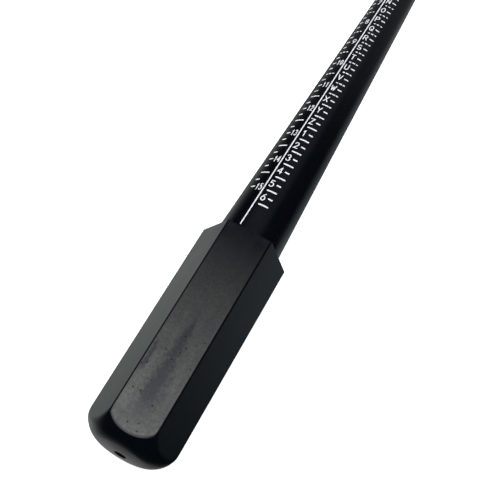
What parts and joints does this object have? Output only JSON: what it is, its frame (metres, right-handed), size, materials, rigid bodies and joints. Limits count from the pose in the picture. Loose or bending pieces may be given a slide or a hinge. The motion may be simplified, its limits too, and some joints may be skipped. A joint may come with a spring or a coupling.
{
  "type": "ring mandrel",
  "caption": "Tapered round plastic mandrel with a hexagonal grip and printed ring-size scales, for reading a finger ring's size and for rounding and holding it.",
  "frame": {"origin": "centre of the hanging hole's mouth, at the middle of the domed butt, on the tool's axis", "axes": "+X along the axis from the butt to the tip, +Z out through one flat of the hexagonal grip, +Y towards a corner of the hexagon"},
  "size_m": [0.3398, 0.0338, 0.0292],
  "materials": {
    "grip_abs": "fine moulded texture, handled to a soft sheen",
    "shaft_abs": "satin, smoother than the grip",
    "print_ink": "flat white pad-printed ink"
  },
  "bodies": {
    "root": {"grip": "grip_abs", "sizing_shaft": "shaft_abs", "front_datum_line": "print_ink", "uk_size_dashes": "print_ink", "uk_half_size_ticks": "print_ink", "us_size_dashes": "print_ink", "us_half_size_ticks": "print_ink", "us_quarter_size_dashes": "print_ink", "rear_datum_line": "print_ink", "eu_size_dashes": "print_ink", "eu_half_size_ticks": "print_ink", "japan_size_dashes": "print_ink"}
  },
  "joints": []
}
